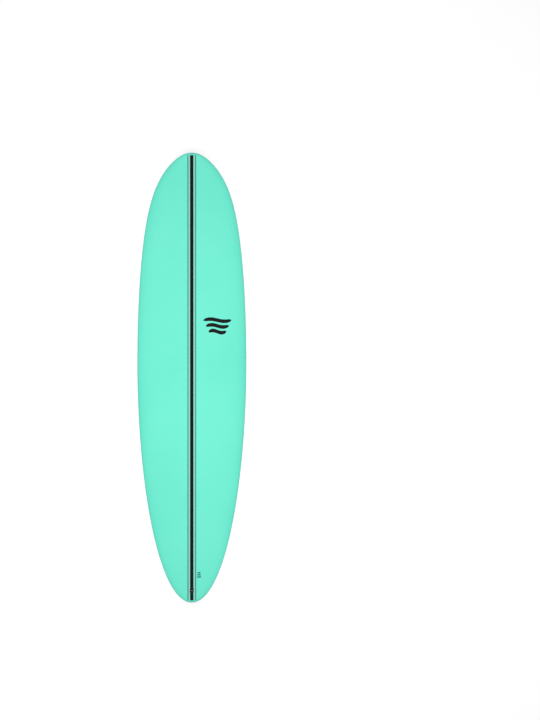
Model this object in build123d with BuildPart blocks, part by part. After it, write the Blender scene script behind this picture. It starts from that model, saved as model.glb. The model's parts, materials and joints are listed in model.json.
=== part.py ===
from build123d import *
from math import comb, cos, radians, sin, sqrt
import os

# A soft-top surfboard lying on its bottom, deck up. +Y points to the nose, +X to the right
# hand of someone who looks forward along the deck, +Z out of the deck. Z = 0 is the ground.

# ---- driving dimensions of the whole board, in millimetres ----
LENGTH = 2286.0  # seven feet six inches
WIDTH = 555.0
THICKNESS = 80.0
WIDE_POINT = 78.0  # the widest station lies this far ahead of the middle
NOSE_ROCKER = 115.0
TAIL_ROCKER = 63.0
ROCKER_CURVE = 2.3
FLAT_FRONT = 100.0  # the bottom line is straight between these two stations
FLAT_BACK = -60.0
FLAT_DEPTH = 0.5  # the straight stretch is faced off by this much, so that it is truly flat
NOSE_THICKNESS = 28.0
TAIL_THICKNESS = 30.0
FOIL_CURVE = 2.4

# ---- cross-section ----
PANEL_SHARE = 0.72  # the bottom panel's share of the half width, forward of the middle
TAIL_PANEL_SHARE = 0.84  # the rails are tighter towards the tail
VEE = 7.0  # rise of the panel's edge where the tail vee is deepest
VEE_MIDDLE = -800.0
VEE_REACH = 520.0
APEX_SHARE = 0.42  # the rail's widest line, as a share of the thickness
RAIL_HANDLE = 0.6
DECK_CROWN = 0.75
DECK_SHOULDER = 0.8

# ---- build-up ----
DECK_SKIN = 4.0
SLICK = 2.0
SEAM_INSET = 7.0  # the deck foam wraps under the rail and shows this much round the bottom
CENTRE_STRINGER = 6.0
SIDE_STRINGER = 5.0
STRINGER_SPACING = 100.0
GLUE_LINE = 0.1  # between the foam core, the stringers and the skins

# ---- fin boxes ----
BOX_LENGTH = 142.0
BOX_WIDTH = 34.0
BOX_FLANGE = 3.0
BOX_DEPTH = 18.0
BOX_STEP = 4.0  # the body under the flange is smaller by this all round
SLOT_WIDTH = 6.5
SLOT_DEPTH = 14.0
FRONT_SLOT = (9.0, 54.0)  # from the box's middle, forwards
REAR_POCKET = (-42.0, -24.0)
MOUTH_DIAMETER = 10.0
MIDDLE_GROOVE_DEPTH = 2.0
CENTRE_BOX_FROM_TAIL = 165.0
SIDE_BOX_FROM_TAIL = 370.0
SIDE_BOX_OUT = 135.0
TOE_IN = 4.2

# ---- retention roller, its spring and the grub screw in each box ----
ROLLER_DIAMETER = 5.0
ROLLER_LENGTH = 8.0
ROLLER_AT = (50.5, -8.0)  # forwards of the box's middle, and depth
ROLLER_GAP = 0.1
ROLLER_TRAVEL = 2.5
SPRING_BORE = 5.0
SPRING_BORE_END = 63.2
SPRING_RADIUS = 1.7
SPRING_WIRE = 0.5
SPRING_TURNS = 6
SCREW_DIAMETER = 7.9
SCREW_HOLE = 8.0
SCREW_AT = -52.0
SCREW_TILT = 35.0
SCREW_RECESS = 3.4
SCREW_LENGTH = 11.0
SCREW_HOLE_DEPTH = 15.5
HEX_SOCKET = 3.0
HEX_DEPTH = 5.0

# ---- leash plug ----
PLUG_FROM_TAIL = 61.0
PLUG_LENGTH = 33.0
PLUG_WIDTH = 20.0
PLUG_FLANGE = 3.0
PLUG_DEPTH = 16.0
PLUG_STEP = 1.5
CUP_LENGTH = 21.0
CUP_WIDTH = 12.0
CUP_DEPTH = 12.0
BAR_DIAMETER = 4.0
BAR_LENGTH = 16.0
BAR_DEPTH = 4.0

# ---- high-density foam blocks that hold the boxes and the plug in the core ----
FIN_BLOCK = (162.0, 50.0, 25.0)
PLUG_BLOCK = (42.0, 36.0, 21.0)
BLOCK_CORNER = 8.0
CUT_OUT = 12.0  # cutters and blocks start this far outside the hull

RIM_CHAMFER = 0.5
SCREW_CHAMFER = 0.4

NOSE_Y = LENGTH / 2
TAIL_Y = -LENGTH / 2
STATIONS_PER_END = 14
STATION_SPREAD = 1.4  # over 1 crowds the stations towards the tips
TIP_STATION = 0.01  # how far along the outline the flat at each tip reaches
PROFILE_STEPS = 24

# Outline of the right-hand half as Bezier poles: half width, and distance from the tip.
NOSE_POLES = [(0, 0), (128, 0), (168, 214), (249, 84), (WIDTH / 2, 686), (WIDTH / 2, NOSE_Y - WIDE_POINT)]
TAIL_POLES = [(0, 0), (121, 0), (218, 272), (WIDTH / 2, 738), (WIDTH / 2, WIDE_POINT - TAIL_Y)]


# ---- shape of the hull ----
def bezier_point(poles, t):
    n = len(poles) - 1
    weights = [comb(n, i) * (1 - t) ** (n - i) * t**i for i in range(n + 1)]
    return tuple(sum(w * p[axis] for w, p in zip(weights, poles)) for axis in (0, 1))


def bezier_direction(poles, t):
    hodograph = [(b[0] - a[0], b[1] - a[1]) for a, b in zip(poles, poles[1:])]
    x, d = bezier_point(hodograph, t)
    size = sqrt(x * x + d * d)
    return x / size, d / size


def outline_station(poles, t, inset):
    """Half width and distance from the tip, on a line parallel to the outline."""
    x, d = bezier_point(poles, t)
    along_x, along_d = bezier_direction(poles, t)
    return x - inset * along_d, d + inset * along_x


def half_width(y):
    poles = NOSE_POLES if y > WIDE_POINT else TAIL_POLES
    wanted = NOSE_Y - y if y > WIDE_POINT else y - TAIL_Y
    low, high = 0.0, 1.0
    for _ in range(50):
        middle = (low + high) / 2
        if bezier_point(poles, middle)[1] < wanted:
            low = middle
        else:
            high = middle
    return bezier_point(poles, low)[0]


def rocker(y):
    if y > FLAT_FRONT:
        share = (y - FLAT_FRONT) / (NOSE_Y - FLAT_FRONT)
        return NOSE_ROCKER * share**ROCKER_CURVE - FLAT_DEPTH
    if y < FLAT_BACK:
        share = (FLAT_BACK - y) / (FLAT_BACK - TAIL_Y)
        return TAIL_ROCKER * share**ROCKER_CURVE - FLAT_DEPTH
    return -FLAT_DEPTH


def thickness(y):
    tip = NOSE_THICKNESS if y > WIDE_POINT else TAIL_THICKNESS
    reach = NOSE_Y - WIDE_POINT if y > WIDE_POINT else WIDE_POINT - TAIL_Y
    share = abs(y - WIDE_POINT) / reach
    return tip + (THICKNESS - tip) * (1 - share**FOIL_CURVE)


def vee(y):
    share = abs(y - VEE_MIDDLE) / VEE_REACH
    return VEE * (1 - share * share) ** 2 if share < 1 else 0.0


def apex_height(y):
    return rocker(y) + vee(y) + APEX_SHARE * (thickness(y) - vee(y))


def panel_share(y):
    if y > 0:
        return PANEL_SHARE
    share = y / TAIL_Y
    return PANEL_SHARE + (TAIL_PANEL_SHARE - PANEL_SHARE) * share * share * (3 - 2 * share)


def panel_height(x, y):
    """Height of the bottom panel, which rises from the spine in nearly flat halves."""
    edge = panel_share(y) * half_width(y)
    t = (sqrt(1 + 8 * abs(x) / edge) - 1) / 2
    return rocker(y) + vee(y) * t * t


def deck_height(y):
    return rocker(y) + thickness(y)


# ---- hulls ----
def hull_section(y, half, closing, deck_inset, slick_inset):
    """One closed cross-section; closing squeezes it towards the rail's apex at the tips.

    Its six curves stay apart, so that each one sweeps out a smooth surface of its own.
    """
    apex = apex_height(y)
    low = apex + (rocker(y) + slick_inset - apex) * closing
    edge_low = apex + (rocker(y) + vee(y) + slick_inset - apex) * closing
    high = apex + (deck_height(y) - deck_inset - apex) * closing
    edge = panel_share(y) * half
    handle = RAIL_HANDLE * (half - edge)
    slope = 4 * (edge_low - low) / (3 * edge)
    rail_low = apex + (edge_low - apex) * (1 - RAIL_HANDLE)
    rail_high = apex + (high - apex) * DECK_SHOULDER
    panel = [(0, low), (edge / 4, low), (edge, edge_low)]
    rail = [(edge, edge_low), (edge + handle, edge_low + handle * slope), (half, rail_low), (half, apex)]
    deck = [(half, apex), (half, rail_high), (half * DECK_CROWN, high), (0, high)]
    right_half = [panel, rail, deck]
    left_half = [[(-x, z) for x, z in reversed(poles)] for poles in reversed(right_half)]
    return make_face([Bezier(*[(x, y, z) for x, z in poles]) for poles in right_half + left_half])


def end_sections(poles, tip_y, inwards, inset, deck_inset, slick_inset):
    """Cross-sections of one end, from its small flat tip to the widest station."""
    sections = []
    round_off = thickness(tip_y) / 2
    steps = [k / STATIONS_PER_END for k in range(1, STATIONS_PER_END + 1)]
    for t in [TIP_STATION] + [step**STATION_SPREAD for step in steps]:
        half, distance = outline_station(poles, t, inset)
        gap = max(0.0, 1 - (distance - inset) / round_off)
        y = tip_y + inwards * (inset if t == TIP_STATION else distance)
        sections.append(hull_section(y, half, sqrt(1 - gap * gap), deck_inset, slick_inset))
    return sections


def lofted_hull(inset, deck_inset, slick_inset):
    nose = end_sections(NOSE_POLES, NOSE_Y, -1, inset, deck_inset, slick_inset)
    tail = end_sections(TAIL_POLES, TAIL_Y, 1, inset, deck_inset, slick_inset)
    with BuildPart() as hull:
        loft(tail + nose[-2::-1], clean=False)
    return hull.part


def seam_poles(poles):
    """The outline's poles, drawn in to the seam while the widest station stays where it is."""
    half, reach = poles[-1]
    return [(x * (1 - SEAM_INSET / half), SEAM_INSET + d * (1 - SEAM_INSET / reach)) for x, d in poles]


def make_under_seam():
    """Everything below the rail's widest line and inside the seam round the bottom."""
    with BuildPart() as under:
        with BuildSketch(Plane.XY.offset(-CUT_OUT)):
            with BuildLine():
                Bezier(*[(x, NOSE_Y - d) for x, d in seam_poles(NOSE_POLES)])
                Bezier(*[(x, TAIL_Y + d) for x, d in seam_poles(TAIL_POLES)])
                mirror(about=Plane.YZ)
            make_face()
        extrude(amount=2 * THICKNESS + NOSE_ROCKER)
        stations = [TAIL_Y + LENGTH * k / PROFILE_STEPS for k in range(PROFILE_STEPS + 1)]
        with BuildSketch(Plane.YZ.offset(-WIDTH)):
            with BuildLine():
                Spline(*[(y, apex_height(y)) for y in stations])
                Polyline(
                    (TAIL_Y, apex_height(TAIL_Y)),
                    (TAIL_Y, -2 * CUT_OUT),
                    (NOSE_Y, -2 * CUT_OUT),
                    (NOSE_Y, apex_height(NOSE_Y)),
                )
            make_face()
        extrude(amount=2 * WIDTH, mode=Mode.INTERSECT)
    return under.part


# ---- places of the fittings ----
def box_plane(x, from_tail, toe):
    """On the bottom, +X towards the box's front end and +Z out of the board."""
    y = TAIL_Y + from_tail
    across = panel_height(x + 1, y) - panel_height(x - 1, y)
    along = panel_height(x, y + 1) - panel_height(x, y - 1)
    turn = radians(toe)
    forward = (-sin(turn), cos(turn), (along * cos(turn) - across * sin(turn)) / 2)
    return Plane(
        origin=(x, y, panel_height(x, y)),
        x_dir=forward,
        z_dir=(across / 2, along / 2, -1),
    )


def plug_plane():
    """On the deck, +X forwards and +Z out of the board."""
    y = TAIL_Y + PLUG_FROM_TAIL
    slope = (deck_height(y + 1) - deck_height(y - 1)) / 2
    return Plane(origin=(0, y, deck_height(y)), x_dir=(0, 1, slope), z_dir=(0, -slope, 1))


def screw_plane(box):
    """Where the grub screw's axis meets the box's face, +Z along the axis, outwards."""
    tilt = radians(SCREW_TILT)
    return Plane(
        origin=box.from_local_coords(Vector(SCREW_AT, 0, 0)),
        x_dir=box.y_dir,
        z_dir=box.z_dir * cos(tilt) - box.x_dir * sin(tilt),
    )


def roller_point(box, forwards=0.0, sideways=0.0):
    along, height = ROLLER_AT
    return box.from_local_coords(Vector(along + forwards, sideways, height))


# ---- fin box and what is in it ----
def slot_between(ends):
    """Middle and length of a slot that runs between two places along the box."""
    return (ends[0] + ends[1]) / 2, ends[1] - ends[0]


def slick_cutter(plane):
    """The hole in the slick that a fin box's flange fills."""
    with BuildPart() as cutter:
        with BuildSketch(plane.offset(CUT_OUT)):
            SlotOverall(BOX_LENGTH, BOX_WIDTH)
        extrude(amount=-CUT_OUT - BOX_FLANGE)
    return cutter.part


def box_envelope(plane):
    """The space that a fin box takes out of its block."""
    with BuildPart() as envelope:
        with BuildSketch(plane.offset(CUT_OUT)):
            SlotOverall(BOX_LENGTH, BOX_WIDTH)
        extrude(amount=-CUT_OUT - BOX_FLANGE)
        with BuildSketch(plane):
            SlotOverall(BOX_LENGTH - 2 * BOX_STEP, BOX_WIDTH - 2 * BOX_STEP)
        extrude(amount=-BOX_DEPTH)
    return envelope.part


def fin_box(plane):
    front_middle, front_length = slot_between(FRONT_SLOT)
    rear_middle, rear_length = slot_between(REAR_POCKET)
    groove_middle, groove_length = slot_between((REAR_POCKET[1], FRONT_SLOT[0]))
    chamber_start = FRONT_SLOT[1] - MOUTH_DIAMETER / 2
    chamber_end = ROLLER_AT[0] + ROLLER_DIAMETER / 2 + ROLLER_TRAVEL + 2
    chamber_middle, chamber_length = slot_between((chamber_start, chamber_end))
    chamber_height = ROLLER_DIAMETER + 2 * ROLLER_GAP
    hole = screw_plane(plane)
    with BuildPart() as box:
        with BuildSketch(plane):
            SlotOverall(BOX_LENGTH, BOX_WIDTH)
        extrude(amount=-BOX_FLANGE)
        with BuildSketch(plane):
            SlotOverall(BOX_LENGTH - 2 * BOX_STEP, BOX_WIDTH - 2 * BOX_STEP)
        extrude(amount=-BOX_DEPTH)
        with BuildSketch(plane):
            with Locations((front_middle, 0)):
                SlotOverall(front_length, SLOT_WIDTH)
            with Locations((rear_middle, 0)):
                SlotOverall(rear_length, SLOT_WIDTH)
            with Locations((chamber_start, 0)):
                Circle(MOUTH_DIAMETER / 2)
        extrude(amount=-SLOT_DEPTH, mode=Mode.SUBTRACT)
        with BuildSketch(plane):
            with Locations((groove_middle, 0)):
                Rectangle(groove_length + SLOT_WIDTH, SLOT_WIDTH)
        extrude(amount=-MIDDLE_GROOVE_DEPTH, mode=Mode.SUBTRACT)
        face = box.faces().sort_by(Axis(plane.origin, plane.z_dir))[-1]
        chamfer(face.edges(), length=RIM_CHAMFER)
        with BuildSketch(plane.offset(ROLLER_AT[1] + chamber_height / 2)):
            with Locations((chamber_middle, 0)):
                Rectangle(chamber_length, ROLLER_LENGTH + 2 * ROLLER_GAP)
        extrude(amount=-chamber_height, mode=Mode.SUBTRACT)
        with BuildSketch(Plane(roller_point(plane), x_dir=plane.y_dir, z_dir=plane.x_dir)):
            Circle(SPRING_BORE / 2)
        extrude(amount=SPRING_BORE_END - ROLLER_AT[0], mode=Mode.SUBTRACT)
        with BuildSketch(hole.offset(CUT_OUT)):
            Circle(SCREW_HOLE / 2)
        extrude(amount=-CUT_OUT - SCREW_HOLE_DEPTH, mode=Mode.SUBTRACT)
    return box.part


def fin_roller(plane):
    start = roller_point(plane, sideways=-ROLLER_LENGTH / 2)
    with BuildPart() as roller:
        with BuildSketch(Plane(start, x_dir=plane.x_dir, z_dir=plane.y_dir)):
            Circle(ROLLER_DIAMETER / 2)
        extrude(amount=ROLLER_LENGTH)
        chamfer(roller.edges().filter_by(GeomType.CIRCLE), length=SCREW_CHAMFER)
    return roller.part


def roller_spring(plane):
    margin = SPRING_WIRE / 2 + ROLLER_GAP
    first = ROLLER_DIAMETER / 2 + margin
    height = SPRING_BORE_END - ROLLER_AT[0] - first - margin
    with BuildPart() as spring:
        with BuildLine() as coil:
            Helix(
                pitch=height / SPRING_TURNS,
                height=height,
                radius=SPRING_RADIUS,
                center=roller_point(plane, forwards=first),
                direction=plane.x_dir,
            )
        with BuildSketch(Plane(coil.line @ 0, z_dir=coil.line % 0)):
            Circle(SPRING_WIRE / 2)
        sweep()
    return spring.part


def grub_screw(plane):
    head = screw_plane(plane).offset(-SCREW_RECESS)
    with BuildPart() as screw:
        with BuildSketch(head):
            Circle(SCREW_DIAMETER / 2)
        extrude(amount=-SCREW_LENGTH)
        chamfer(screw.edges().filter_by(GeomType.CIRCLE), length=SCREW_CHAMFER)
        with BuildSketch(head):
            RegularPolygon(HEX_SOCKET / 2, 6, major_radius=False)
        extrude(amount=-HEX_DEPTH, mode=Mode.SUBTRACT)
    return screw.part


# ---- leash plug and its bar ----
def plug_envelope(plane):
    with BuildPart() as envelope:
        with BuildSketch(plane.offset(CUT_OUT)):
            SlotOverall(PLUG_LENGTH, PLUG_WIDTH)
        extrude(amount=-CUT_OUT - PLUG_FLANGE)
        with BuildSketch(plane):
            SlotOverall(PLUG_LENGTH - 2 * PLUG_STEP, PLUG_WIDTH - 2 * PLUG_STEP)
        extrude(amount=-PLUG_DEPTH)
    return envelope.part


def bar_plane(plane):
    """Square to the leash bar, at its middle."""
    middle = plane.from_local_coords(Vector(0, 0, -BAR_DEPTH))
    return Plane(middle, x_dir=plane.x_dir, z_dir=plane.y_dir)


def leash_plug(plane):
    with BuildPart() as plug:
        with BuildSketch(plane):
            SlotOverall(PLUG_LENGTH, PLUG_WIDTH)
        extrude(amount=-PLUG_FLANGE)
        with BuildSketch(plane):
            SlotOverall(PLUG_LENGTH - 2 * PLUG_STEP, PLUG_WIDTH - 2 * PLUG_STEP)
        extrude(amount=-PLUG_DEPTH)
        with BuildSketch(plane):
            SlotOverall(CUP_LENGTH, CUP_WIDTH)
        extrude(amount=-CUP_DEPTH, mode=Mode.SUBTRACT)
        outwards = Axis(plane.origin, plane.z_dir)
        chamfer(plug.faces().sort_by(outwards)[-1].edges(), length=RIM_CHAMFER)
        cup_floor = plug.faces().filter_by(Plane(plane.origin, z_dir=plane.z_dir)).sort_by(outwards)[1]
        fillet(cup_floor.edges(), radius=CUP_WIDTH / 4)
        with BuildSketch(bar_plane(plane)):
            Circle(BAR_DIAMETER / 2)
        extrude(amount=BAR_LENGTH / 2, both=True, mode=Mode.SUBTRACT)
    return plug.part


def leash_bar(plane):
    with BuildPart() as bar:
        with BuildSketch(bar_plane(plane)):
            Circle(BAR_DIAMETER / 2)
        extrude(amount=BAR_LENGTH / 2, both=True)
    return bar.part


# ---- foam and wood ----
def block_cutter(plane, size):
    """A block that runs out past the skin, to cut its place in the core."""
    length, width, depth = size
    with BuildPart() as block:
        with BuildSketch(plane.offset(CUT_OUT)):
            RectangleRounded(length, width, BLOCK_CORNER)
        extrude(amount=-CUT_OUT - depth)
    return block.part


def foam_block(cutter, hull, envelope):
    with BuildPart() as block:
        add(cutter)
        add(hull, mode=Mode.INTERSECT)
        add(envelope, mode=Mode.SUBTRACT)
    return block.part


def core_slice(hull, left, right, cutters):
    """The part of the core between two upright planes, less its blocks."""
    with BuildPart() as piece:
        add(hull)
        with Locations(((left + right) / 2, 0, NOSE_ROCKER / 2)):
            Box(right - left - GLUE_LINE, LENGTH, 4 * THICKNESS, mode=Mode.INTERSECT)
        for cutter in cutters:
            add(cutter, mode=Mode.SUBTRACT, clean=False)
    return piece.part


def save(part, name):
    part.label = name
    export_step(part, f"parts/{name}.step")


os.makedirs("parts", exist_ok=True)
outer_hull = lofted_hull(0, 0, 0)
inside_skins = lofted_hull(DECK_SKIN, DECK_SKIN, SLICK)
core_hull = lofted_hull(DECK_SKIN + GLUE_LINE, DECK_SKIN + GLUE_LINE, SLICK + GLUE_LINE)
under_seam = make_under_seam()

box_planes = {
    "left": box_plane(-SIDE_BOX_OUT, SIDE_BOX_FROM_TAIL, -TOE_IN),
    "centre": box_plane(0, CENTRE_BOX_FROM_TAIL, 0),
    "right": box_plane(SIDE_BOX_OUT, SIDE_BOX_FROM_TAIL, TOE_IN),
}
plug_place = plug_plane()
box_envelopes = {side: box_envelope(plane) for side, plane in box_planes.items()}
block_cutters = {side: block_cutter(plane, FIN_BLOCK) for side, plane in box_planes.items()}
plug_space = plug_envelope(plug_place)
plug_cutter = block_cutter(plug_place, PLUG_BLOCK)

with BuildPart() as bottom_slick:
    add(outer_hull)
    add(under_seam, mode=Mode.INTERSECT, clean=False)
    add(inside_skins, mode=Mode.SUBTRACT, clean=False)
    split(bisect_by=Plane.XY, keep=Keep.TOP)
    for plane in box_planes.values():
        add(slick_cutter(plane), mode=Mode.SUBTRACT, clean=False)
save(bottom_slick.part, "bottom_slick")

with BuildPart() as deck_skin:
    add(outer_hull)
    add(under_seam, mode=Mode.SUBTRACT, clean=False)
    add(inside_skins, mode=Mode.SUBTRACT, clean=False)
    add(plug_space, mode=Mode.SUBTRACT, clean=False)
save(deck_skin.part, "deck_skin")

half_centre = CENTRE_STRINGER / 2
side_inner = STRINGER_SPACING - SIDE_STRINGER / 2
side_outer = STRINGER_SPACING + SIDE_STRINGER / 2
middle_cutters = [block_cutters["centre"], plug_cutter]
save(core_slice(core_hull, -WIDTH, -side_outer, [block_cutters["left"]]), "core_left")
save(core_slice(core_hull, -side_outer, -side_inner, []), "stringer_left")
save(core_slice(core_hull, -side_inner, -half_centre, middle_cutters), "core_inner_left")
save(core_slice(core_hull, -half_centre, half_centre, middle_cutters), "stringer_centre")
save(core_slice(core_hull, half_centre, side_inner, middle_cutters), "core_inner_right")
save(core_slice(core_hull, side_inner, side_outer, []), "stringer_right")
save(core_slice(core_hull, side_outer, WIDTH, [block_cutters["right"]]), "core_right")

for side, plane in box_planes.items():
    save(foam_block(block_cutters[side], core_hull, box_envelopes[side]), f"fin_block_{side}")
    save(fin_box(plane), f"fin_box_{side}")
    save(fin_roller(plane), f"fin_roller_{side}")
    save(roller_spring(plane), f"roller_spring_{side}")
    save(grub_screw(plane), f"grub_screw_{side}")

save(foam_block(plug_cutter, core_hull, plug_space), "leash_block")
save(leash_plug(plug_place), "leash_plug")
save(leash_bar(plug_place), "leash_bar")
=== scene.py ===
import json
import math

import bmesh
import bpy
import numpy as np
from mathutils import Matrix, Vector


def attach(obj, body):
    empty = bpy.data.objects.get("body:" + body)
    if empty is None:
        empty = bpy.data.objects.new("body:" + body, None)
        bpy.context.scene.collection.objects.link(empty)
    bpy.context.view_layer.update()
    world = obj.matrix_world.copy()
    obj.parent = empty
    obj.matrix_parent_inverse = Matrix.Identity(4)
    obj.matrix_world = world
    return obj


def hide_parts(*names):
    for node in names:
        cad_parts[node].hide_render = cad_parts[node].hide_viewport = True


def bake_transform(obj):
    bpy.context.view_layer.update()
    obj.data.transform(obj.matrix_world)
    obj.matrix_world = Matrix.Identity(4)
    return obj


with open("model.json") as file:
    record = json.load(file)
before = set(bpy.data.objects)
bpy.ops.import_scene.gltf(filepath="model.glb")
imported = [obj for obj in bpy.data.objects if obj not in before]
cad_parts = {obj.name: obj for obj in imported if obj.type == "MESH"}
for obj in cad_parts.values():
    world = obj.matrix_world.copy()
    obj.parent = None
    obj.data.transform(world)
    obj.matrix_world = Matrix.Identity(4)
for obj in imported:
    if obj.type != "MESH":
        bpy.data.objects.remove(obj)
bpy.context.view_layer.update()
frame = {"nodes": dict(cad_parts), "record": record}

# Sizes are in millimetres until a mesh is made, and the same as in the CAD source. y runs from tail to nose, and z
# is up.
MM = 0.001
LENGTH, WIDTH, THICKNESS = 2286.0, 555.0, 80.0
NOSE_Y, TAIL_Y, WIDE_POINT = LENGTH / 2, -LENGTH / 2, 78.0
NOSE_ROCKER, TAIL_ROCKER, ROCKER_CURVE = 115.0, 63.0, 2.3
FLAT_FRONT, FLAT_BACK, FLAT_DEPTH = 100.0, -60.0, 0.5
NOSE_THICKNESS, TAIL_THICKNESS, FOIL_CURVE = 28.0, 30.0, 2.4
PANEL_SHARE, TAIL_PANEL_SHARE = 0.72, 0.84
VEE, VEE_MIDDLE, VEE_REACH = 7.0, -800.0, 520.0
APEX_SHARE, RAIL_HANDLE, DECK_CROWN, DECK_SHOULDER = 0.42, 0.6, 0.75, 0.8
DECK_SKIN, SLICK, SEAM_INSET = 3.8, 1.8, 7.0
BOX_LENGTH, BOX_WIDTH = 142.0, 34.0
CENTRE_BOX_FROM_TAIL, SIDE_BOX_FROM_TAIL, SIDE_BOX_OUT, TOE_IN = 165.0, 370.0, 135.0, 4.2
PLUG_FROM_TAIL, PLUG_LENGTH, PLUG_WIDTH = 61.0, 33.0, 20.0
NOSE_POLES = [(0, 0), (128, 0), (168, 214), (249, 84), (WIDTH / 2, 686), (WIDTH / 2, NOSE_Y - WIDE_POINT)]
TAIL_POLES = [(0, 0), (121, 0), (218, 272), (WIDTH / 2, 738), (WIDTH / 2, WIDE_POINT - TAIL_Y)]

TABLE_STEPS = 20000  # steps in the table of each outline
HEIGHT_STEPS = 400  # points across a section, to look a height up
LEAST_PACE = 0.02  # stations stand at least this far apart
NUDGE = 0.01  # a small step in the parameter of Sections.bottom, to find its slope
CUT_ROOM = 0.1  # a cut is this much longer and wider than the fitting in it
BOX_CUT, PLUG_CUT = 12.0, 9.0  # half the height of a cut


# ---------------------------------------------------------------- hull surface
def bezier(poles, t):
    """Points of a Bezier at the parameters t. Each pole may itself be an array."""
    n = len(poles) - 1
    total = 0.0
    for i, p in enumerate(poles):
        total = total + math.comb(n, i) * (1 - t) ** (n - i) * t**i * p
    return total


def outline_table(poles):
    """Half widths and distances from the tip, along one end's outline."""
    t = np.linspace(0, 1, TABLE_STEPS + 1)
    return bezier([p[0] for p in poles], t), bezier([p[1] for p in poles], t)


NOSE_TABLE, TAIL_TABLE = outline_table(NOSE_POLES), outline_table(TAIL_POLES)


def seam_table(table):
    """The same for the seam, where the slick meets the foam."""
    half, reach = table[0][-1], table[1][-1]
    return table[0] * (1 - SEAM_INSET / half), SEAM_INSET + table[1] * (1 - SEAM_INSET / reach)


def width_at(y, nose, tail):
    """Half widths at the places y, from the tables of both ends."""
    ahead = np.interp(NOSE_Y - y, nose[1], nose[0], left=0.0)
    behind = np.interp(y - TAIL_Y, tail[1], tail[0], left=0.0)
    return np.where(y > WIDE_POINT, ahead, behind)


class Sections:
    """Cross-sections of the hull at the stations y. Arrays have one value for each station."""

    def __init__(self, y):
        self.y = y = np.asarray(y, float)
        self.half = width_at(y, NOSE_TABLE, TAIL_TABLE)
        self.seam = width_at(y, seam_table(NOSE_TABLE), seam_table(TAIL_TABLE))
        nose_share = np.clip((y - FLAT_FRONT) / (NOSE_Y - FLAT_FRONT), 0, 1)
        tail_share = np.clip((FLAT_BACK - y) / (FLAT_BACK - TAIL_Y), 0, 1)
        rocker = NOSE_ROCKER * nose_share**ROCKER_CURVE + TAIL_ROCKER * tail_share**ROCKER_CURVE - FLAT_DEPTH
        front = y > WIDE_POINT
        tip = np.where(front, NOSE_THICKNESS, TAIL_THICKNESS)
        reach = np.where(front, NOSE_Y - WIDE_POINT, WIDE_POINT - TAIL_Y)
        thickness = tip + (THICKNESS - tip) * (1 - (abs(y - WIDE_POINT) / reach) ** FOIL_CURVE)
        share = np.clip(abs(y - VEE_MIDDLE) / VEE_REACH, 0, 1)
        vee = VEE * (1 - share * share) ** 2
        to_tip = np.where(front, NOSE_Y - y, y - TAIL_Y)
        gap = np.clip(1 - to_tip / (tip / 2), 0, 1)
        closing = np.sqrt(1 - gap * gap)
        self.apex = rocker + vee + APEX_SHARE * (thickness - vee)
        self.low = np.maximum(self.apex + (rocker - self.apex) * closing, 0)
        self.edge_low = np.maximum(self.apex + (rocker + vee - self.apex) * closing, 0)
        self.high = self.apex + (rocker + thickness - self.apex) * closing
        tail = np.clip(y / TAIL_Y, 0, 1)
        share = PANEL_SHARE + (TAIL_PANEL_SHARE - PANEL_SHARE) * tail * tail * (3 - 2 * tail)
        self.edge = share * self.half
        self.handle = RAIL_HANDLE * (self.half - self.edge)

    def bottom(self, w):
        """x and z on the underside; w runs 0 to 1 over the panel and 1 to 2 up the rail to its apex."""
        panel = np.clip(w, 0, 1)
        rail = np.clip(w - 1, 0, 1)
        edge, low, edge_low = (v[:, None] for v in (self.edge, self.low, self.edge_low))
        half, apex, handle = (v[:, None] for v in (self.half, self.apex, self.handle))
        slope = 4 * (edge_low - low) / (3 * np.maximum(edge, 1e-6))
        x = np.where(
            w <= 1,
            bezier([0 * edge, edge / 4, edge], panel),
            bezier([edge, edge + handle, half, half], rail),
        )
        z = np.where(
            w <= 1,
            bezier([low, low, edge_low], panel),
            bezier(
                [edge_low, edge_low + handle * slope, apex + (edge_low - apex) * (1 - RAIL_HANDLE), apex],
                rail,
            ),
        )
        return x, z

    def deck(self, u):
        """x and z on the upper side; u runs from the rail's apex to the middle of the deck."""
        half, apex, high = (v[:, None] for v in (self.half, self.apex, self.high))
        x = bezier([half, half, half * DECK_CROWN, 0 * half], u)
        z = bezier([apex, apex + (high - apex) * DECK_SHOULDER, high, high], u)
        return x, z

    def height(self, x, side):
        """z at the places x across each section, on the deck or the bottom."""
        s = np.linspace(0, 1, HEIGHT_STEPS)[None, :] * np.ones((len(self.y), 1))
        sx, sz = self.deck(1 - s) if side == "deck" else self.bottom(2 * s)
        return np.array([np.interp(abs(x[k]), sx[k], sz[k]) for k in range(len(self.y))])


def stations():
    """Distances along the board, crowded where the outline and the seam turn round the tips."""
    found = []
    for table, tip, way in ((NOSE_TABLE, NOSE_Y, -1), (TAIL_TABLE, TAIL_Y, 1)):
        pick = (np.linspace(0, 1, 120) ** 1.5 * TABLE_STEPS).astype(int)
        found += [tip + way * d for d in table[1][pick]]
        near = (np.linspace(0, 1, 60)[1:30] ** 1.6 * TABLE_STEPS).astype(int)
        found += [tip + way * d for d in seam_table(table)[1][near]]
        found += [tip + way * SEAM_INSET]
    found = np.sort(np.array(found))
    keep = [found[0]]
    for y in found[1:]:
        if y - keep[-1] > LEAST_PACE:
            keep.append(y)
    return np.array(keep)


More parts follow.
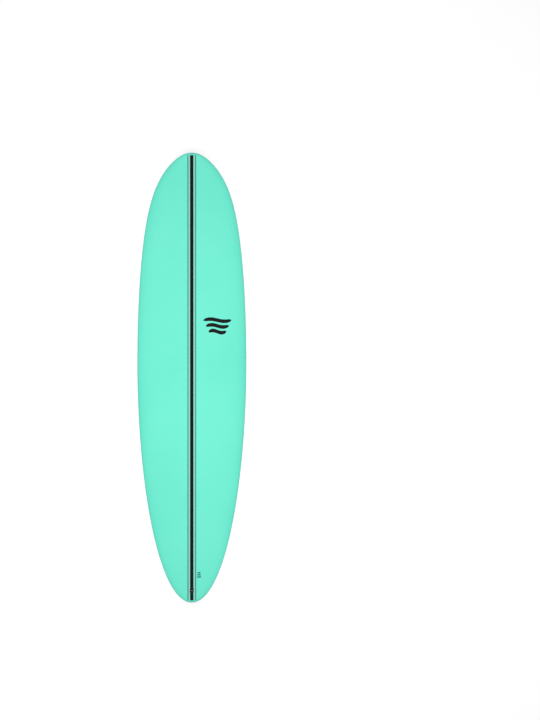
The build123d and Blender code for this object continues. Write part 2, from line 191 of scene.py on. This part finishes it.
# ---------------------------------------------------------------- mesh helpers
def add_mesh(name, verts, faces, body="board", merge=0.0):
    """A new object in metres, riding on a CAD body unless body is None."""
    mesh = bpy.data.meshes.new(name)
    mesh.from_pydata([tuple(v) for v in verts], [], faces)
    bm = bmesh.new()
    bm.from_mesh(mesh)
    if merge:
        bmesh.ops.remove_doubles(bm, verts=bm.verts, dist=merge)
        bmesh.ops.dissolve_degenerate(bm, edges=bm.edges, dist=merge / 4)
    bmesh.ops.recalc_face_normals(bm, faces=bm.faces)
    bm.to_mesh(mesh)
    bm.free()
    obj = bpy.data.objects.new(name, mesh)
    bpy.context.scene.collection.objects.link(obj)
    if body:
        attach(obj, body)
    return obj


def grid_faces(count, cols, start=0):
    """Four-sided faces of a grid whose points run row by row from the index start."""
    corners = [start + r * cols + c for r in range(count - 1) for c in range(cols - 1)]
    return [(a, a + 1, a + cols + 1, a + cols) for a in corners]


def smooth(obj, degrees=35.0):
    """Smooth shading, with sharp edges where the faces meet at more than this angle."""
    bm = bmesh.new()
    bm.from_mesh(obj.data)
    for f in bm.faces:
        f.smooth = True
    for e in bm.edges:
        e.smooth = len(e.link_faces) == 2 and e.calc_face_angle(0.0) < math.radians(degrees)
    bm.to_mesh(obj.data)
    bm.free()


def bake_modifiers(obj):
    bpy.context.view_layer.update()
    evaluated = obj.evaluated_get(bpy.context.evaluated_depsgraph_get())
    mesh = bpy.data.meshes.new_from_object(evaluated)
    obj.modifiers.clear()
    obj.data = mesh


def solidify(obj, thickness):
    """Thickens a skin inwards."""
    m = obj.modifiers.new("thickness", "SOLIDIFY")
    m.thickness = thickness * MM
    m.offset = -1
    bake_modifiers(obj)


def cut(obj, cutters):
    for c in cutters:
        m = obj.modifiers.new("cut", "BOOLEAN")
        m.operation = "DIFFERENCE"
        m.solver = "EXACT"
        m.object = c
    bake_modifiers(obj)


def stadium(length, width, steps=24):
    """Outline of a slot with round ends, long in x."""
    r = width / 2
    points = []
    for sign in (1, -1):
        for k in range(steps + 1):
            a = math.pi * k / steps - math.pi / 2
            points.append((sign * (length / 2 - r + r * math.cos(a)), sign * r * math.sin(a)))
    return points


def prism(name, outline, place, low, high):
    """An upright prism in the frame of the matrix place, used only to cut."""
    n = len(outline)
    verts = [place @ Vector((x * MM, y * MM, z * MM)) for z in (low, high) for x, y in outline]
    faces = [tuple(range(n))[::-1], tuple(range(n, 2 * n))]
    faces += [(k, (k + 1) % n, n + (k + 1) % n, n + k) for k in range(n)]
    obj = add_mesh(name, verts, faces, body=None)
    obj.hide_render = True
    return obj


def at(origin, x_dir, z_dir):
    """The frame at origin, in millimetres, with its x and z towards the directions given."""
    x, z = Vector(x_dir).normalized(), Vector(z_dir).normalized()
    x = (x - z * x.dot(z)).normalized()
    y = z.cross(x)
    m = Matrix((x, y, z)).transposed().to_4x4()
    m.translation = Vector(origin) * MM
    return m


def panel_height(x, y):
    return float(Sections([y]).height(np.array([[x]]), "bottom")[0, 0])


def box_place(x, from_tail, toe):
    """Frame of a fin box in the bottom: its x along the box towards the nose, its z down."""
    y = TAIL_Y + from_tail
    across = (panel_height(x + 1, y) - panel_height(x - 1, y)) / 2
    along = (panel_height(x, y + 1) - panel_height(x, y - 1)) / 2
    turn = math.radians(toe)
    return at((x, y, panel_height(x, y)), (-math.sin(turn), math.cos(turn), 0), (across, along, -1))


def deck_height(y):
    return float(Sections([y]).high[0])


# ---------------------------------------------------------------- materials
class Nodes:
    """A short way to write a node tree round one Principled shader."""

    def __init__(self, name):
        self.material = bpy.data.materials.new(name)
        self.material.use_nodes = True
        self.tree = self.material.node_tree
        self.shader = self.tree.nodes["Principled BSDF"]
        self.place = self.add("ShaderNodeTexCoord").outputs["Object"]

    def add(self, kind, inputs=None, **settings):
        node = self.tree.nodes.new(kind)
        for key, value in settings.items():
            setattr(node, key, value)
        for key, value in (inputs or {}).items():
            if isinstance(value, bpy.types.NodeSocket):
                self.tree.links.new(value, node.inputs[key])
            else:
                node.inputs[key].default_value = value
        return node

    def set(self, **values):
        for key, value in values.items():
            self.shader.inputs[key.replace("_", " ")].default_value = value

    def link(self, output, key):
        self.tree.links.new(output, self.shader.inputs[key])

    def stretched(self, scale):
        return self.add("ShaderNodeMapping", {"Vector": self.place, "Scale": scale}).outputs["Vector"]

    def noise(self, scale, detail=3.0, roughness=0.5, vector=None):
        inputs = {"Vector": vector or self.place, "Scale": scale, "Detail": detail, "Roughness": roughness}
        return self.add("ShaderNodeTexNoise", inputs).outputs["Fac"]

    def spread(self, value, low, high, start=0.3, end=0.7):
        inputs = {"Value": value, "From Min": start, "From Max": end, "To Min": low, "To Max": high}
        return self.add("ShaderNodeMapRange", inputs).outputs["Result"]

    def mix(self, factor, a, b):
        node = self.add("ShaderNodeMix", data_type="RGBA")
        for index, value in ((0, factor), (6, a), (7, b)):
            if isinstance(value, bpy.types.NodeSocket):
                self.tree.links.new(value, node.inputs[index])
            else:
                node.inputs[index].default_value = value
        return node.outputs[2]

    def bump(self, height, distance, strength=1.0, normal=None):
        inputs = {"Height": height, "Distance": distance, "Strength": strength}
        if normal:
            inputs["Normal"] = normal
        return self.add("ShaderNodeBump", inputs).outputs["Normal"]


def rgb(r, g, b):
    return (r, g, b, 1.0)


PEBBLE = 900.0  # scale of the foam's fine pebbling, which the prints on it show too


def foam_material(name, dark, light, roughness):
    """Closed-cell foam sheet with a fine pebbled, heat-pressed face, and painted shade that darkens the rails where
    the face tilts away from up.
    """
    n = Nodes(name)
    cloud = n.spread(n.noise(2.2, 2.0), 0.0, 1.0, 0.35, 0.65)
    fine = n.spread(n.noise(420.0, 2.0), 0.0, 0.35)
    both = n.add("ShaderNodeMath", {0: cloud, 1: fine}, operation="ADD", use_clamp=True).outputs[0]
    face = n.mix(both, rgb(*dark), rgb(*light))
    # Painted shade: the base colour darkens to 0.8 of the dark tone where the surface normal turns away from straight
    # up, round the rails.
    facing = n.add("ShaderNodeTexCoord").outputs["Normal"]
    upright = n.add("ShaderNodeSeparateXYZ", {"Vector": facing}).outputs["Z"]
    painted_rail_shade = n.mix(n.spread(upright, 0.0, 1.0, 0.2, 0.8), rgb(*(0.8 * c for c in dark)), face)
    n.link(painted_rail_shade, "Base Color")
    n.link(n.spread(n.noise(35.0, 3.0), roughness - 0.05, roughness + 0.07), "Roughness")
    cells = n.add("ShaderNodeTexVoronoi", {"Vector": n.place, "Scale": PEBBLE}, feature="SMOOTH_F1")
    pressed = n.bump(cells.outputs["Distance"], 0.00012, 0.55)
    n.link(n.bump(n.noise(60.0, 2.0), 0.0002, 0.25, pressed), "Normal")
    n.set(Specular_IOR_Level=0.22)
    return n.material


def slick_material():
    """Smooth polyethylene sheet with a faint orange peel and lengthwise draw lines."""
    n = Nodes("slick_sheet")
    cloud = n.spread(n.noise(1.8, 2.0), 0.0, 1.0, 0.35, 0.65)
    n.link(n.mix(cloud, rgb(0.86, 0.868, 0.87), rgb(0.885, 0.892, 0.893)), "Base Color")
    streak = n.noise(90.0, 3.0, vector=n.stretched((1.0, 0.03, 1.0)))
    n.link(n.spread(streak, 0.24, 0.34), "Roughness")
    peel = n.bump(n.noise(160.0, 2.0), 0.00015, 0.25)
    n.link(n.bump(streak, 0.00008, 0.3, peel), "Normal")
    n.set(Specular_IOR_Level=0.5, Coat_Weight=0.15, Coat_Roughness=0.15)
    return n.material


def bead_material(name, bead, groove, scale):
    """Fused foam beads."""
    n = Nodes(name)
    cells = n.add("ShaderNodeTexVoronoi", {"Vector": n.place, "Scale": scale}, feature="DISTANCE_TO_EDGE")
    edge = n.spread(cells.outputs["Distance"], 0.0, 1.0, 0.0, 0.09)
    tone = n.add("ShaderNodeTexVoronoi", {"Vector": n.place, "Scale": scale})
    shade = n.add("ShaderNodeSeparateColor", {"Color": tone.outputs["Color"]}).outputs["Red"]
    face = n.mix(n.spread(shade, 0.0, 1.0, 0.0, 1.0), rgb(*(0.94 * c for c in bead)), rgb(*bead))
    n.link(n.mix(edge, rgb(*groove), face), "Base Color")
    n.link(n.bump(edge, 0.0003, 0.6), "Normal")
    n.link(n.spread(n.noise(300.0), 0.7, 0.85), "Roughness")
    n.set(Specular_IOR_Level=0.25)
    return n.material


def wood_material():
    """Thin plywood stringer, grain along the board."""
    n = Nodes("stringer_wood")
    grain = n.noise(260.0, 6.0, 0.6, n.stretched((1.0, 0.018, 0.35)))
    ply = n.add(
        "ShaderNodeTexWave",
        {"Vector": n.place, "Scale": 260.0, "Distortion": 0.4, "Detail": 2.0},
        bands_direction="X",
    ).outputs["Fac"]
    tone = n.mix(n.spread(grain, 0.0, 1.0), rgb(0.34, 0.2, 0.1), rgb(0.62, 0.43, 0.25))
    n.link(n.mix(n.spread(ply, 0.0, 0.25, 0.2, 0.8), tone, rgb(0.25, 0.14, 0.07)), "Base Color")
    n.link(n.spread(grain, 0.5, 0.68), "Roughness")
    n.link(n.bump(grain, 0.0002, 0.4), "Normal")
    return n.material


def moulded_material(name, dark, light, roughness, shine=0.42):
    """Moulded, glass-filled plastic."""
    n = Nodes(name)
    speck = n.spread(n.noise(700.0, 4.0, 0.65), 0.0, 1.0)
    cloud = n.spread(n.noise(30.0, 2.0), 0.0, 0.4)
    both = n.add("ShaderNodeMath", {0: speck, 1: cloud, 2: 0.25}, operation="MULTIPLY_ADD").outputs[0]
    n.link(n.mix(both, rgb(*dark), rgb(*light)), "Base Color")
    n.link(n.spread(n.noise(220.0), roughness - 0.06, roughness + 0.08), "Roughness")
    n.link(n.bump(n.noise(1500.0, 2.0), 0.00006, 0.5), "Normal")
    n.set(Specular_IOR_Level=shine)
    return n.material


def steel_material(name, dark, light, roughness, stretch=(1.0, 0.08, 1.0)):
    """Stainless steel with fine drawn lines."""
    n = Nodes(name)
    drawn = n.noise(1800.0, 4.0, 0.6, n.stretched(stretch))
    n.link(n.mix(n.spread(drawn, 0.0, 1.0), rgb(*dark), rgb(*light)), "Base Color")
    n.link(n.spread(drawn, roughness - 0.08, roughness + 0.1), "Roughness")
    n.link(n.bump(drawn, 0.00003, 0.4), "Normal")
    n.set(Metallic=1.0)
    return n.material


def ink_material(name, dark, light, roughness=0.5):
    """Print laminated under the foam's clear face."""
    n = Nodes(name)
    fine = n.spread(n.noise(500.0, 3.0), 0.0, 1.0)
    n.link(n.mix(fine, rgb(*dark), rgb(*light)), "Base Color")
    n.link(n.spread(n.noise(40.0), roughness - 0.06, roughness + 0.06), "Roughness")
    cells = n.add("ShaderNodeTexVoronoi", {"Vector": n.place, "Scale": PEBBLE}, feature="SMOOTH_F1")
    n.link(n.bump(cells.outputs["Distance"], 0.0001, 0.5), "Normal")
    n.set(Specular_IOR_Level=0.06)
    return n.material


DECK_DARK, DECK_LIGHT = (0.136, 0.790, 0.590), (0.150, 0.820, 0.622)
materials = {
    "deck_foam": foam_material("deck_foam", DECK_DARK, DECK_LIGHT, 0.5),
    "bottom_slick": slick_material(),
    "core_foam": bead_material("core_beads", (0.86, 0.87, 0.86), (0.66, 0.67, 0.66), 260.0),
    "dense_foam": bead_material("dense_beads", (0.72, 0.66, 0.5), (0.5, 0.45, 0.33), 700.0),
    "stringer_wood": wood_material(),
    "fin_box": moulded_material("fin_box_plastic", (0.026, 0.026, 0.028), (0.042, 0.042, 0.045), 0.55),
    "leash_plug": moulded_material(
        "leash_plug_plastic", (0.004, 0.0075, 0.0075), (0.008, 0.013, 0.013), 0.5, shine=0.2
    ),
    "steel": steel_material("brushed_bar", (0.17, 0.175, 0.18), (0.25, 0.255, 0.26), 0.34),
    "spring_steel": steel_material("spring_wire", (0.42, 0.42, 0.43), (0.56, 0.56, 0.57), 0.3),
    "screw_steel": steel_material("screw_steel", (0.36, 0.36, 0.37), (0.5, 0.5, 0.52), 0.36, (1.0, 1.0, 0.1)),
}
slots = {s["node"]: s["material_slot"] for s in frame["record"]["subparts"]}
for name, node in frame["nodes"].items():
    node.data.materials.clear()
    node.data.materials.append(materials[slots[name]])

# ---------------------------------------------------------------- places of the fittings
box_places = {
    "left": box_place(-SIDE_BOX_OUT, SIDE_BOX_FROM_TAIL, -TOE_IN),
    "centre": box_place(0.0, CENTRE_BOX_FROM_TAIL, 0.0),
    "right": box_place(SIDE_BOX_OUT, SIDE_BOX_FROM_TAIL, TOE_IN),
}
box_outline = stadium(BOX_LENGTH + CUT_ROOM, BOX_WIDTH + CUT_ROOM)
box_cutters = [
    prism(f"cutter_{side}", box_outline, place, -BOX_CUT, BOX_CUT) for side, place in box_places.items()
]
plug_y = TAIL_Y + PLUG_FROM_TAIL
plug_slope = (deck_height(plug_y + 1) - deck_height(plug_y - 1)) / 2
plug_place = at((0, plug_y, deck_height(plug_y)), (0, 1, plug_slope), (0, -plug_slope, 1))
plug_outline = stadium(PLUG_LENGTH + CUT_ROOM, PLUG_WIDTH + CUT_ROOM)
plug_cutter = prism("cutter_plug", plug_outline, plug_place, -PLUG_CUT, PLUG_CUT)


# ---------------------------------------------------------------- skins
def seam_parameter(sections):
    """Where the seam lies on each section's underside, as the parameter of Sections.bottom."""
    w = np.linspace(0, 2, 801)[None, :] * np.ones((len(sections.y), 1))
    x, _ = sections.bottom(w)
    return np.array([np.interp(s, xs, w[0]) for s, xs in zip(sections.seam, x)])


def dipped(sections, w, depth):
    """Points of the underside, sunk by depth along the section's own normal."""
    x, z = sections.bottom(w)
    ahead = sections.bottom(np.minimum(w + NUDGE, 2))
    behind = sections.bottom(np.maximum(w - NUDGE, 0))
    tx, tz = ahead[0] - behind[0], ahead[1] - behind[1]
    size = np.maximum(np.hypot(tx, tz), 1e-9)
    return x - depth * tz / size, z + depth * tx / size


def seam_columns(sections, seam, gaps, depths, way):
    """Extra columns beside the seam that roll into a shallow groove, which fades out at the tips."""
    x, z = sections.bottom(np.stack([seam - NUDGE, seam + NUDGE], 1))
    pace = np.hypot(x[:, 1] - x[:, 0], z[:, 1] - z[:, 0]) / (2 * NUDGE)
    reach = np.clip((sections.seam - 3) / 8, 0, 1)
    w = seam[:, None] + way * reach[:, None] * np.array(gaps)[None, :] / np.maximum(pace, 1)[:, None]
    depth = reach[:, None] * np.array(depths)[None, :]
    return np.clip(w, 0, 2), depth


def both_sides(x, y, z):
    """Right-hand columns from the middle outwards, joined to their mirror image, and how many that makes in a row."""
    xs = np.concatenate([-x[:, ::-1], x[:, 1:]], 1)
    zs = np.concatenate([z[:, ::-1], z[:, 1:]], 1)
    cols = xs.shape[1]
    ys = np.repeat(y[:, None], cols, 1)
    return np.stack([xs, ys, zs], 2).reshape(-1, 3), cols


RAIL_COLUMNS, DECK_COLUMNS, SLICK_COLUMNS = 16, 44, 36
# How far each extra column stands from the seam, and how deep it lies.
DECK_GAPS, DECK_DEPTHS = (1.6, 0.8, 0.3, 0.05), (0.0, 0.08, 0.25, 0.5)
SLICK_GAPS, SLICK_DEPTHS = (1.4, 0.6, 0.25, 0.05), (0.0, 0.05, 0.2, 0.45)
MERGE = 0.00001  # points closer than this, in metres, become one

rows = stations()
hull = Sections(rows)
seam = seam_parameter(hull)

# Deck foam: from the middle of the deck out round the rail to the seam.
u = 1 - np.linspace(0, 1, DECK_COLUMNS)[None, :] ** 0.9 * np.ones((len(rows), 1))
deck_x, deck_z = hull.deck(u)
groove_w, groove_depth = seam_columns(hull, seam, DECK_GAPS, DECK_DEPTHS, 1)
first = groove_w[:, :1]
w = 2 + (first - 2) * np.linspace(0, 1, RAIL_COLUMNS)[None, 1:]
w = np.concatenate([w, groove_w[:, 1:]], 1)
depth = np.concatenate([np.zeros((len(rows), RAIL_COLUMNS - 1)), groove_depth[:, 1:]], 1)
rail_x, rail_z = dipped(hull, w, depth)
verts, cols = both_sides(np.concatenate([deck_x, rail_x], 1), rows, np.concatenate([deck_z, rail_z], 1))
faces = grid_faces(len(rows), cols)
deck_skin = add_mesh("deck_foam_skin", verts * MM, faces, merge=MERGE)
solidify(deck_skin, DECK_SKIN)
cut(deck_skin, [plug_cutter])
smooth(deck_skin)
deck_skin.data.materials.append(materials["deck_foam"])
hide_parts("deck_skin")

# Slick: from the middle of the bottom out to the seam, where it exists.
inside = hull.seam > 0
slick_rows = Sections(rows[inside])
slick_seam = seam[inside]
groove_w, groove_depth = seam_columns(slick_rows, slick_seam, SLICK_GAPS, SLICK_DEPTHS, -1)
w = groove_w[:, :1] * np.linspace(0, 1, SLICK_COLUMNS)[None, :]
w = np.concatenate([w, groove_w[:, 1:]], 1)
depth = np.concatenate([np.zeros((len(slick_rows.y), SLICK_COLUMNS)), groove_depth[:, 1:]], 1)
slick_x, slick_z = dipped(slick_rows, w, depth)
slick_x[:, 0] = 0
verts, cols = both_sides(slick_x, slick_rows.y, slick_z)
faces = grid_faces(len(slick_rows.y), cols)
slick = add_mesh("slick_bottom", verts * MM, faces, merge=MERGE)
solidify(slick, SLICK)
cut(slick, box_cutters)
smooth(slick)
slick.data.materials.append(materials["bottom_slick"])
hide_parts("bottom_slick")


# ---------------------------------------------------------------- printed lines and marks
PROUD, SUNK = {"deck": 0.08, "bottom": 0.04}, 0.25  # how far a print layer reaches out of the skin and into it
STRIPE_FROM_NOSE, STRIPE_FROM_TAIL = 13.0, 11.0
BAND_HALF, GAP_END, LINE_START, LINE_END = 8.6, 16.5, 16.5, 22.3  # distances from the middle line


def printed_grid(name, x, y, side, material, cutters=()):
    """A thin print layer over the places x, y; both are arrays of rows by columns."""
    z = np.empty_like(x)
    for k in range(len(x)):
        sections = Sections(y[k])
        z[k] = sections.height(x[k][:, None], side)[:, 0]
    out = 1 if side == "deck" else -1
    count, cols = x.shape
    top = np.stack([x, y, z + out * PROUD[side]], 2).reshape(-1, 3)
    under = np.stack([x, y, z - out * SUNK], 2).reshape(-1, 3)
    faces = grid_faces(count, cols)
    faces += [tuple(reversed(f)) for f in grid_faces(count, cols, count * cols)]
    rim = list(range(cols)) + [r * cols + cols - 1 for r in range(1, count)]
    rim += [(count - 1) * cols + c for c in range(cols - 2, -1, -1)]
    rim += [r * cols for r in range(count - 2, 0, -1)]
    n = count * cols
    faces += [(a, b, b + n, a + n) for a, b in zip(rim, rim[1:] + rim[:1])]
    obj = add_mesh(name, np.concatenate([top, under]) * MM, faces)
    if cutters:
        cut(obj, cutters)
    smooth(obj)
    obj.data.materials.append(material)
    return obj


def lengthwise(name, inner, outer, material, cutters=(), cols=4):
    """A line along the deck, from inner to outer across it."""
    y = rows[(rows > TAIL_Y + STRIPE_FROM_TAIL) & (rows < NOSE_Y - STRIPE_FROM_NOSE)]
    y = np.concatenate([[TAIL_Y + STRIPE_FROM_TAIL], y, [NOSE_Y - STRIPE_FROM_NOSE]])
    x = np.linspace(inner, outer, cols)[None, :] * np.ones((len(y), 1))
    return printed_grid(name, x, np.repeat(y[:, None], cols, 1), "deck", material, cutters)


black_ink = ink_material("black_ink", (0.0008, 0.0100, 0.0085), (0.0014, 0.0140, 0.0120), 0.6)
pale_ink = ink_material("pale_ink", (0.27, 0.64, 0.53), (0.30, 0.68, 0.57))
teal_ink = ink_material("teal_ink", (0.048, 0.30, 0.232), (0.057, 0.33, 0.255))
size_ink = ink_material("size_ink", (0.010, 0.155, 0.110), (0.014, 0.175, 0.125))
mark_ink = ink_material("mark_ink", (0.004, 0.0045, 0.0045), (0.007, 0.008, 0.008), 0.45)

lengthwise("stripe_band", -BAND_HALF, BAND_HALF, black_ink, [plug_cutter], 7)
for side, sign in (("left", -1), ("right", 1)):
    lengthwise(f"stripe_pale_{side}", sign * BAND_HALF, sign * GAP_END, pale_ink, [plug_cutter], 5)
    lengthwise(f"stripe_line_{side}", sign * LINE_START, sign * LINE_END, teal_ink, (), 3)


def wave_bar(name, middle, length, height, swell, side, material, steps=48, cols=5):
    """A wavy bar with tapered ends, a plain stand-in for a printed mark."""
    s = np.linspace(0, 1, steps)
    taper = np.sqrt(np.clip(1 - (2 * s - 1) ** 6, 0.02, 1))
    x = middle[0] + (s - 0.5) * length
    y = middle[1] + swell * np.sin(2 * math.pi * s)
    across = np.linspace(-0.5, 0.5, cols)
    ys = y[:, None] + across[None, :] * height * taper[:, None]
    xs = np.repeat(x[:, None], cols, 1)
    return printed_grid(name, xs, ys, side, material)


MARK_FROM_NOSE, MARK_OUT, MARK_PITCH = 880.0, 130.0, 29.0
MARK_HEIGHT, MARK_SWELL, MARK_STEP = 19.0, 5.5, 26.0  # each bar is a step shorter than the one above it
DECK_MARK, BOTTOM_MARK = 142.0, 140.0  # length of the longest bar
DASH_FROM_NOSE, DASH_START, DASH_PITCH, DASH_LENGTH, DASH_HEIGHT = 948.0, -45.0, 18.0, 13.0, 6.0
TICK_FROM_TAIL, TICK_OUT, TICK_PITCH = 130.0, 37.0, 10.5
TICK_LENGTH, TICK_STEP, TICK_HEIGHT = 22.0, 3.0, 6.5

for k in range(3):
    y = NOSE_Y - MARK_FROM_NOSE + (1 - k) * MARK_PITCH
    shorter = MARK_STEP * k
    bar = (MARK_HEIGHT, MARK_SWELL)
    wave_bar(f"deck_mark_{k + 1}", (MARK_OUT, y), DECK_MARK - shorter, *bar, "deck", mark_ink)
    wave_bar(f"bottom_mark_{k + 1}", (0.0, y), BOTTOM_MARK - shorter, *bar, "bottom", mark_ink)
for k in range(6):
    middle = (DASH_START + DASH_PITCH * k, NOSE_Y - DASH_FROM_NOSE)
    wave_bar(f"bottom_dash_{k + 1}", middle, DASH_LENGTH, DASH_HEIGHT, 0.0, "bottom", mark_ink, 12)
for k in range(3):
    middle = (TICK_OUT, TAIL_Y + TICK_FROM_TAIL + TICK_PITCH * k)
    wave_bar(f"size_tick_{k + 1}", middle, TICK_LENGTH - TICK_STEP * k, TICK_HEIGHT, 0.0, "deck", size_ink, 16)

for helper in box_cutters + [plug_cutter]:
    bpy.data.objects.remove(helper, do_unlink=True)

# ---------------------------------------------------------------- spring wires, copies of the CAD springs that stand in their place
for joint in frame["record"]["behaviour"]["joints"]:
    for coil in joint.get("deforming_nodes", []):
        name, axis = coil["node"], Vector(joint["axis"]).normalized()
        mesh = frame["nodes"][name].data.copy()
        wire = bpy.data.objects.new(name.replace("roller_spring", "spring_wire"), mesh)
        bpy.context.scene.collection.objects.link(wire)
        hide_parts(name)
        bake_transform(wire)

# ---------------------------------------------------------------- floor, light and camera
FLOOR_HALF, FLOOR_Z = 160.0, -0.0003  # wide enough to fill every view, and just under the board
corners = [(x * FLOOR_HALF, y * FLOOR_HALF, FLOOR_Z) for x, y in ((-1, -1), (1, -1), (1, 1), (-1, 1))]
floor = add_mesh("floor", corners, [(0, 1, 2, 3)], body=None)
n = Nodes("floor_paper")
n.link(n.mix(n.spread(n.noise(3.0), 0.0, 1.0), rgb(0.54, 0.54, 0.54), rgb(0.56, 0.56, 0.56)), "Base Color")
n.set(Roughness=0.9, Specular_IOR_Level=0.1, Emission_Color=rgb(1, 1, 1), Emission_Strength=0.60)
floor.data.materials.append(n.material)

# The world lights the board softly, and looks paler to the camera than the light that it gives.
WORLD_LIGHT, SEEN_EXTRA = 0.42, 0.41
world = bpy.data.worlds.new("studio")
bpy.context.scene.world = world
world.use_nodes = True
background = world.node_tree.nodes["Background"]
background.inputs["Color"].default_value = rgb(1.0, 1.0, 1.0)
seen = world.node_tree.nodes.new("ShaderNodeLightPath").outputs["Is Camera Ray"]
strength = world.node_tree.nodes.new("ShaderNodeMath")
strength.operation = "MULTIPLY_ADD"
strength.inputs[1].default_value, strength.inputs[2].default_value = SEEN_EXTRA, WORLD_LIGHT
world.node_tree.links.new(seen, strength.inputs[0])
world.node_tree.links.new(strength.outputs[0], background.inputs["Strength"])


def area_light(name, place, target, size, power):
    light = bpy.data.lights.new(name, "AREA")
    light.shape = "RECTANGLE"
    light.size, light.size_y = size
    light.energy = power
    obj = bpy.data.objects.new(name, light)
    obj.location = place
    obj.rotation_euler = (Vector(target) - Vector(place)).to_track_quat("-Z", "Y").to_euler()
    bpy.context.scene.collection.objects.link(obj)


KEY_PLACE, KEY_TARGET, KEY_SIZE, KEY_POWER = (-0.05, -0.04, 2.9), (0, -0.04, 0), (1.8, 3.2), 68.0
area_light("key", KEY_PLACE, KEY_TARGET, KEY_SIZE, KEY_POWER)

# A long lens straight above the deck, far off, so that the view is nearly parallel, as in the photograph. The board
# stands left of the picture's middle, where the photograph has it.
CAMERA_PLACE, CAMERA_LENS, CAMERA_SENSOR, CLIP_END = (0.3976, 0.0896, 60.0), 589.4, 36.0, 400.0
camera = bpy.data.cameras.new("camera")
camera.lens = CAMERA_LENS
camera.sensor_width = CAMERA_SENSOR
camera.clip_end = CLIP_END
camera_object = bpy.data.objects.new("camera", camera)
camera_object.location = CAMERA_PLACE
bpy.context.scene.collection.objects.link(camera_object)
bpy.context.scene.camera = camera_object
bpy.context.scene.view_settings.view_transform = "Standard"
